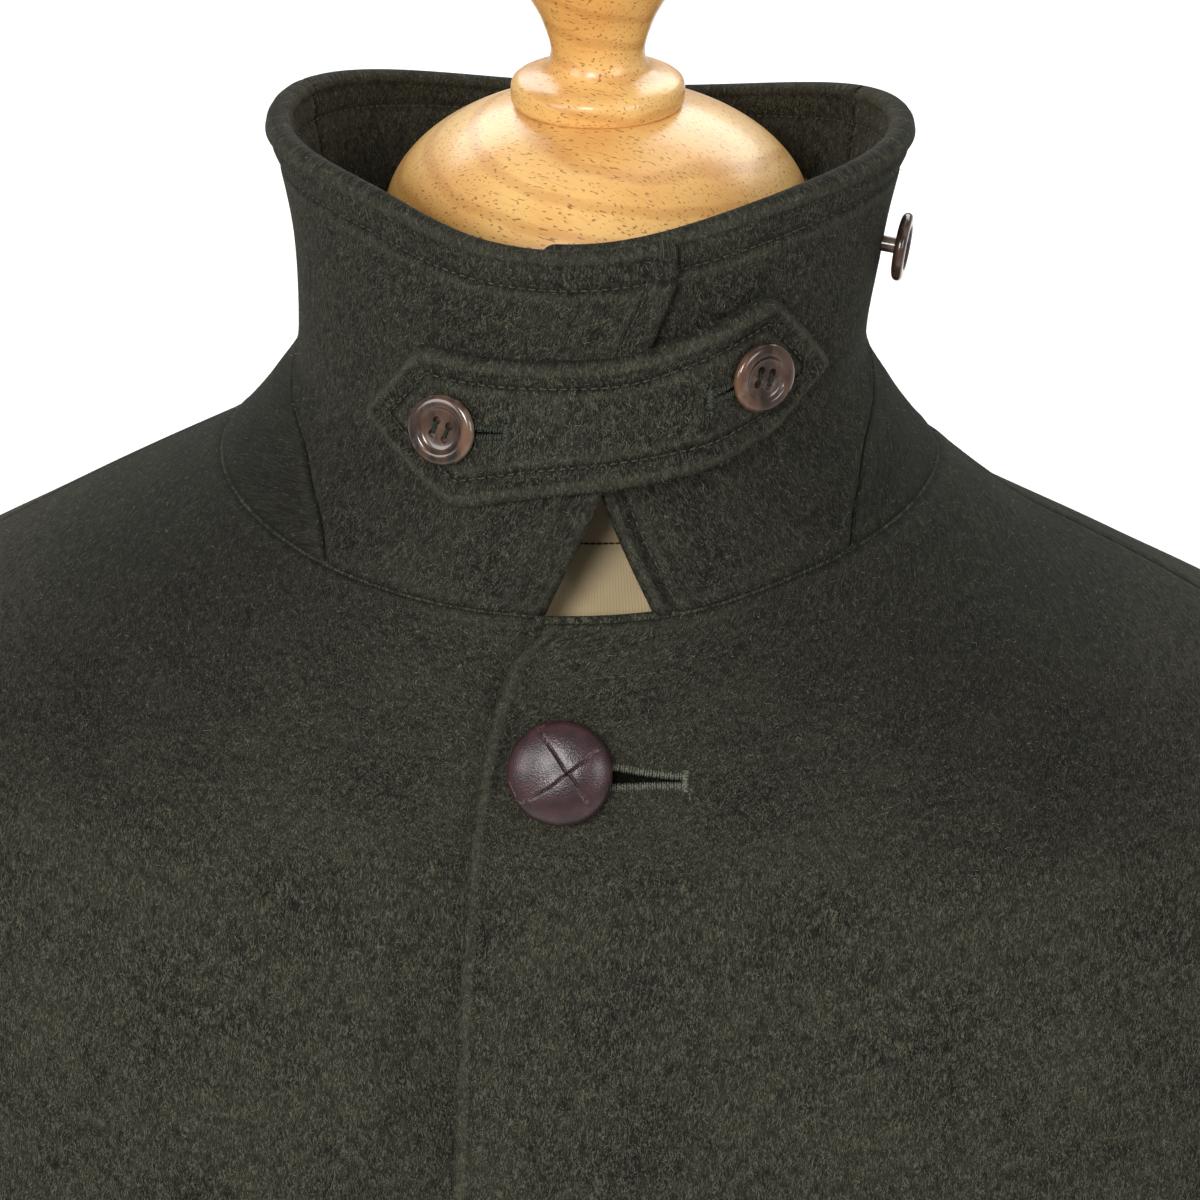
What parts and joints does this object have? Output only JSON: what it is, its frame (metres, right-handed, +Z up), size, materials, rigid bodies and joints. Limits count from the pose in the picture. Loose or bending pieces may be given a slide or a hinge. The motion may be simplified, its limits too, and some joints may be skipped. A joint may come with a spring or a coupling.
{
  "type": "loden coat on dress form",
  "caption": "Knee-length buttoned loden coat with turned-up collar and throat tab, standing on a limbless dress form with a turned wooden knob.",
  "frame": {"origin": "centre of the stand's underside, on the floor", "axes": "+Z up, the coat's front faces -Y, +X is the wearer's left"},
  "size_m": [0.688, 0.395, 1.6356],
  "materials": {
    "loden": "felted dark olive melange wool with a short nap",
    "button_leather": "semi-gloss burgundy brown woven leather",
    "horn": "polished marbled brown horn",
    "form_cover": "plain beige cotton cover",
    "beech": "varnished steamed beech"
  },
  "bodies": {
    "root": {"front_left": "loden", "front_right": "loden", "back": "loden", "sleeve_left": "loden", "sleeve_right": "loden", "collar_front_left": "loden", "collar_front_right": "loden", "collar_back": "loden", "throat_tab": "loden", "football_button_1": "button_leather", "football_button_2": "button_leather", "football_button_3": "button_leather", "football_button_4": "button_leather", "horn_button_right": "horn", "horn_button_left": "horn", "horn_button_side": "horn", "form_torso": "form_cover", "form_cap": "beech", "form_finial": "beech", "form_pole": "beech", "form_base": "beech"}
  },
  "joints": []
}
